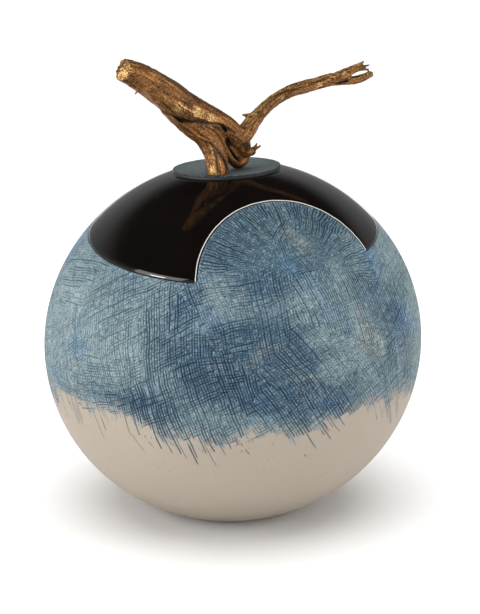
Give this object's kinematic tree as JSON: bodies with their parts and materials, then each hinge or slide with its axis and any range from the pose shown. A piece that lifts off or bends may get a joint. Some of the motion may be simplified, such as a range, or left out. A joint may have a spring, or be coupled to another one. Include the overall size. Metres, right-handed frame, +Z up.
{
  "type": "funeral urn",
  "caption": "Ball-shaped stoneware urn with a wavy-edged black lid and a driftwood handle, hollow and open for ashes.",
  "frame": {"origin": "on the floor, under the middle of the ball, at the bottom centre of the bounding box", "axes": "+Z up, out of the lid; -Y towards the front, where the tall lobe rises into the lid; +X towards the thin limb of the branch"},
  "size_m": [0.2199, 0.22, 0.2686],
  "materials": {
    "stoneware": "unglazed buff stoneware with a scratched blue wash above the belly",
    "black_glaze": "glossy black glaze with a matte blue-grey top disc",
    "gilded_driftwood": "dry root wood rubbed with bronze and gold"
  },
  "bodies": {
    "root": {"urn_body": "stoneware", "lid": "black_glaze", "branch_handle": "gilded_driftwood"}
  },
  "joints": []
}
